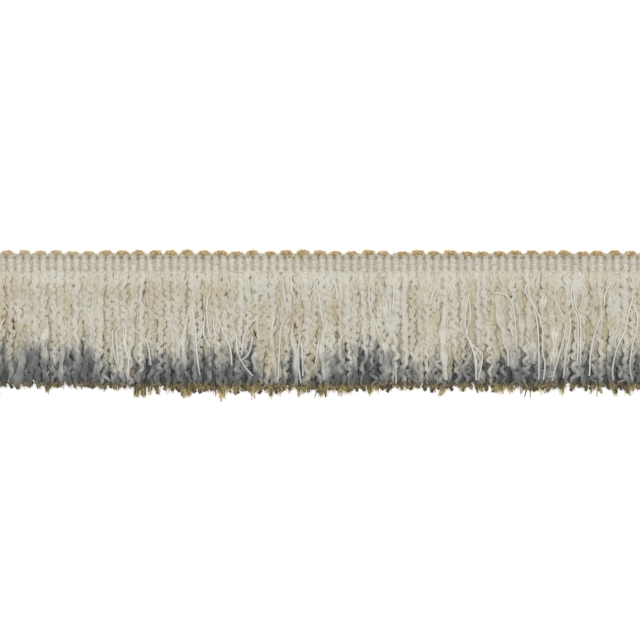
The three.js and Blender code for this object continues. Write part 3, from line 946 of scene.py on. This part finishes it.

# %% [markdown]
# ## The finish
#
# The yarn is cream, palest near the heading, and its last third was dipped in a blue-grey dye
# that crept up by a different amount on each strand. Between the strands the light is warm,
# because it has passed through cream yarn many times, so the flanks get a painted warm shade, and
# the cut ends are olive brown. So the colour depends on place: on the way down for the dye and the
# cut, and on a yarn's flank for the warmth. Each finish starts from one colour and is tinted step
# by step, with noise for the single fibres and for painted shade in the pits between them, which
# are too fine for the mesh. The layers behind the front one are painted darker and warmer as
# shade, and their dye grey reaches further up, so pale curls show on a dark ground.

# %% Small helpers for a finish
def colour(red, green, blue):
    """A colour given as on a paint card, from 0 to 255, as the renderer wants it."""
    def linear(value):
        value = value / 255
        return value / 12.92 if value <= 0.04045 else ((value + 0.055) / 1.055) ** 2.4
    return (linear(red), linear(green), linear(blue), 1)


class Finish:
    """A finish under way: its nodes, its colour so far, and the place on the trim.

    along, across and height give the place in millimetres. Colours are as on a paint card.
    """

    def __init__(self, name, roughness, sheen):
        self.material = bpy.data.materials.new(name)
        self.material.use_nodes = True
        self.nodes = self.material.node_tree.nodes
        self.links = self.material.node_tree.links
        self.shader = self.nodes["Principled BSDF"]
        self.shader.inputs["Roughness"].default_value = roughness
        self.shader.inputs["Sheen Weight"].default_value = sheen
        self.shader.inputs["Sheen Roughness"].default_value = 0.6
        self.shader.inputs["Specular IOR Level"].default_value = 0.25
        self.place = self.node("TexCoord", {}).outputs["Object"]
        sides = self.node("SeparateXYZ", {0: self.place}).outputs
        self.along, self.across, self.height = (self.times(side, 1 / MM) for side in sides)
        self.tone = self.kept("yarn_tone")
        self.dye = self.kept("dye_taken")
        self.flank = self.kept("flank")

    def node(self, kind, fed, **settings):
        """A new node of this kind. fed says what goes into its sockets, by name or by number."""
        made = self.nodes.new("ShaderNode" + kind)
        for setting, value in settings.items():
            setattr(made, setting, value)
        for socket, value in fed.items():
            self.put(value, made.inputs[socket])
        return made

    def put(self, value, socket):
        """Feeds a socket with what another node gives, with a colour or with a number."""
        if hasattr(value, "is_output"):
            self.links.new(value, socket)
        elif isinstance(value, tuple):
            socket.default_value = colour(*value)
        else:
            socket.default_value = value

    def kept(self, name):
        """A number that each point of the mesh keeps."""
        return self.node("Attribute", {}, attribute_name=name).outputs["Fac"]

    def ramp(self, value, start, end, low=0.0, high=1.0):
        """Goes smoothly from low to high while value goes from start to end."""
        fed = {0: value, 1: start, 2: end, 3: low, 4: high}
        return self.node("MapRange", fed, interpolation_type="SMOOTHSTEP").outputs[0]

    def sum(self, first, second, way="ADD"):
        """Two numbers added up, or put together in another way."""
        return self.node("Math", {0: first, 1: second}, operation=way).outputs[0]

    def times(self, first, second):
        """Two numbers multiplied."""
        return self.sum(first, second, "MULTIPLY")

    def grain(self, size, stretch=(1, 1, 1), detail=2.0):
        """Noise whose lumps are size millimetres, stretched along each axis."""
        scale = [1 / (size * MM * part) for part in stretch]
        place = self.node("Mapping", {0: self.place, "Scale": scale}).outputs[0]
        fed = {"Vector": place, "Scale": 1.0, "Detail": detail}
        return self.node("TexNoise", fed).outputs["Fac"]

    def marked(self, tone):
        """1 on the yarns whose tone marks them as this kind, and 0 on common yarns."""
        return self.ramp(self.tone, tone - 1.5, tone - 0.5)

    def begin(self, share, first, second):
        """The colour to begin with: the first one, or the second where share is 1."""
        fed = {"Factor": share, "A": first, "B": second}
        self.shade = self.node("Mix", fed, data_type="RGBA").outputs["Result"]

    def tint(self, share, shade):
        """Takes the colour so far towards another one, by a share from 0 to 1."""
        self.begin(share, self.shade, shade)

    def raise_by(self, pattern, strength, depth):
        """Lets a pattern stand out of the yarn, depth in millimetres."""
        fed = {"Strength": strength, "Distance": depth * MM, "Height": pattern}
        bump = self.node("Bump", fed)
        self.links.new(bump.outputs["Normal"], self.shader.inputs["Normal"])

    def paint(self):
        """Hands the colour to the shader, which completes the finish."""
        self.put(self.shade, self.shader.inputs["Base Color"])
        return self.material


print("cream is", np.round(colour(222, 214, 196), 3))

# %% The yarn of the skirt
SHADED_FIBRE = (176, 164, 130)
PAINTED_PIT_SHADE = (190, 166, 116)
PALER_NEAR_HEADING = (226, 222, 210)
WARM_FLANK_SHADE = (206, 173, 94)


def yarn_finish(name, cream, warm, dyed, soaked, tips,
                reach=1.0, lower_layer_shade=0.0, flank_shade=0.52, pit_shade=0.22):
    """Cream yarn that turns to dye and then to cut tips on its way down.

    The last four numbers say how far the dye takes, how much further up its grey reaches as
    painted shade on the layers below, how much painted warm shade the yarn's flanks get, and how
    dark the painted shade in the pits between its fibres is.
    """
    made = Finish(name, 0.95, 0.25)
    wide_patches = made.ramp(made.grain(14.0), 0.3, 0.7, -0.2, 0.2)
    mottle = made.sum(made.grain(6.0, (1, 1.6, 1)), wide_patches)
    mottle = made.sum(mottle, made.times(made.tone, 0.15))
    made.begin(made.ramp(mottle, 0.3, 0.7), warm, cream)
    pebbles = made.grain(0.9, (1, 1.5, 1), 1.0)
    fibre = made.grain(0.28, (1, 3, 1))
    made.tint(made.ramp(fibre, 0.3, 0.7, 0.2, 0.0), SHADED_FIBRE)
    # painted shade in the pits between the fibres
    made.tint(made.ramp(pebbles, 0.3, 0.44, pit_shade, 0.0), PAINTED_PIT_SHADE)
    # paler towards the heading
    made.tint(made.ramp(made.across, 11, 18, 0.0, 0.45), PALER_NEAR_HEADING)
    # painted warm shade on the yarn's flanks, where the light has passed through cream yarn
    flank = made.ramp(made.flank, 0.3, 1.0, 0.0, flank_shade)
    made.tint(flank, WARM_FLANK_SHADE)
    dye = made.sum(made.ramp(made.grain(2.2, (1, 2.4, 1)), 0.25, 0.75, -0.3, 0.3), made.dye)
    dye = made.sum(dye, made.ramp(made.grain(6.5, (1, 1.5, 1)), 0.3, 0.7, -0.25, 0.25))
    # on the lower layers the dye's grey reaches further up, as painted shade
    dye = made.sum(dye, made.sum(made.times(made.tone, -0.15), lower_layer_shade))
    # the flanks turn grey sooner than the crests: painted shade in the dyed part
    dye = made.sum(dye, made.times(flank, 0.5))
    made.tint(made.ramp(dye, 0.05, 1.0, 0.0, reach), dyed)
    made.tint(made.ramp(dye, 0.72, 1.45, 0.0, 0.95 * reach), soaked)
    cut = made.sum(made.across, made.ramp(pebbles, 0.2, 0.8, -1.2, 1.2))
    made.tint(made.ramp(cut, -24.2, -20.8, 1.0, 0.0), tips)
    made.raise_by(made.sum(pebbles, made.times(fibre, 0.3)), 0.22, 0.2)
    return made.paint()


front_yarn = yarn_finish("boucle_front_yarn", cream=(214, 212, 202), warm=(203, 196, 176),
                         dyed=(152, 153, 150), soaked=(101, 102, 102), tips=(136, 120, 76),
                         lower_layer_shade=0.08)
# The middle and back yarns are darker and warmer than the front's, and their dye grey reaches further
# up: painted shade on the layers that lie below.
middle_yarn = yarn_finish("boucle_middle_yarn", cream=(213, 208, 190), warm=(203, 194, 168),
                          dyed=(120, 121, 119), soaked=(78, 79, 79), tips=(112, 99, 64),
                          lower_layer_shade=0.18)
back_yarn = yarn_finish("boucle_back_yarn", cream=(202, 188, 150), warm=(190, 172, 130),
                        dyed=(94, 95, 95), soaked=(66, 67, 68), tips=(88, 80, 54), lower_layer_shade=0.38)
lock_yarn = yarn_finish("soft_lock_fibre", cream=(230, 228, 218), warm=(218, 214, 200),
                        dyed=(184, 184, 179), soaked=(126, 127, 126), tips=(140, 126, 86),
                        reach=0.85, flank_shade=0.4, pit_shade=0.08)
thread_yarn = yarn_finish("smooth_thread_yarn", cream=(230, 228, 220), warm=(224, 220, 209),
                          dyed=(196, 195, 189), soaked=(178, 177, 170), tips=(168, 152, 110),
                          reach=0.6, flank_shade=0.3, pit_shade=0.08)
fuzz_yarn = yarn_finish("loose_fuzz_fibre", cream=(214, 211, 198), warm=(204, 198, 178),
                        dyed=(152, 153, 150), soaked=(106, 107, 106), tips=(160, 142, 96))

# %% The cut tips' fibres
def tip_finish():
    """Olive where a stub of ply was dipped, and gold where fine fibres let the light through."""
    made = Finish("cut_tip_fibre", 0.9, 0.2)
    patchy = made.ramp(made.grain(3.0), 0.3, 0.7, -0.5, 0.5)
    below = made.ramp(made.across, -24.8, -21.8, 0.15, -0.75)
    gold = made.ramp(made.sum(made.sum(made.tone, patchy), below), -1.0, 0.9)
    made.begin(gold, (88, 79, 50), (238, 216, 152))
    return made.paint()


tip_yarn = tip_finish()
print("finishes:", [finish.name for finish in (front_yarn, middle_yarn, back_yarn, tip_yarn)])

# %% [markdown]
# ## The heading's and the loops' finish
#
# The heading has the same cream yarn, with painted shade: greyer where the ribs meet the loops and
# darker down between the ribs. Its chains are paler, and the fibres in the notches are the palest of
# all, because the surface shines through them. The loops are tan and a little faded at the left,
# with a golden crest of painted light where the light comes through the yarn, and a grey-brown foot
# of painted shade.

# %% The heading's yarn and the tan yarn
def heading_finish():
    """Cream yarn with painted shade, greyer at the loops' feet and dark deep down, with pale threads
    and fibres.
    """
    made = Finish("heading_yarn", 0.9, 0.15)
    mottle = made.grain(0.9, detail=3.0)
    made.begin(made.ramp(mottle, 0.3, 0.7), (192, 187, 170), (218, 214, 202))
    made.tint(made.marked(FINE_THREAD), (224, 219, 207))
    # painted shade, greyer where the ribs meet the loops
    made.tint(made.ramp(made.across, 22.5, 24.6, 0.0, 0.35), (170, 160, 134))
    # painted shade, darker low down between the ribs
    made.tint(made.ramp(made.height, 1.2, 2.0, 0.8, 0.0), (150, 138, 106))
    made.tint(made.marked(NOTCH_FIBRE), (240, 237, 228))
    made.raise_by(made.grain(0.3), 0.6, 0.15)
    return made.paint()


def loop_finish():
    """Streaky tan yarn with a grey-brown foot of painted shade, a golden crest of painted light and
    golden hairs.
    """
    made = Finish("tan_loop_yarn", 0.8, 0.2)
    streak = made.grain(0.5, (2.5, 1, 2.5))
    made.begin(made.ramp(streak, 0.35, 0.65), (146, 121, 80), (206, 182, 136))
    made.tint(made.ramp(made.along, -110, -40, 0.5, 0.0), (192, 183, 160))
    # painted shade, grey-brown at the foot where the loop meets the heading
    made.tint(made.ramp(made.across, 23.8, 25.0, 0.85, 0.0), (160, 150, 128))
    # painted light, a golden crest where the light comes through the yarn
    made.tint(made.ramp(made.across, 25.8, 27.0, 0.0, 0.8), (214, 186, 126))
    made.tint(made.marked(FINE_THREAD), (246, 222, 160))
    made.raise_by(streak, 0.5, 0.15)
    return made.paint()


heading_yarn = heading_finish()
tan_yarn = loop_finish()
print("finishes:", heading_yarn.name, tan_yarn.name)

# %% [markdown]
# ## Give each piece its finish and its place in the model
#
# The trim has no joint, so every piece rides on the one body. Each piece takes its finish and takes
# over from the plain solid that it was laid out in. The table lists a material slot for each piece,
# which nothing here uses.

# %% Dress the pieces
dressed = table(
    "piece finish slot for",
    (boucle_back, back_yarn, "boucle_yarn", "skirt_back"),
    (boucle_middle, middle_yarn, "boucle_yarn", "skirt_middle"),
    (boucle_front, front_yarn, "boucle_yarn", "skirt_front"),
    (front_knobs, front_yarn, "boucle_yarn", "skirt_front"),
    (middle_knobs, middle_yarn, "boucle_yarn", "skirt_middle"),
    (soft_locks, lock_yarn, "boucle_yarn", "skirt_front"),
    (frayed_tips, tip_yarn, "boucle_yarn", "skirt_back"),
    (yarn_fuzz, fuzz_yarn, "boucle_yarn", "skirt_front"),
    (smooth_threads, thread_yarn, "smooth_thread", "loose_threads"),
    (woven_heading, heading_yarn, "heading", "heading"),
    (tan_loops, tan_yarn, "edge_loops", "loop_edge"),
)
for row in dressed:
    row["piece"].data.materials.append(row["finish"])
    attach(row["piece"], "root")
    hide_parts(row["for"])
print("triangles in all:", sum(triangles.values()))
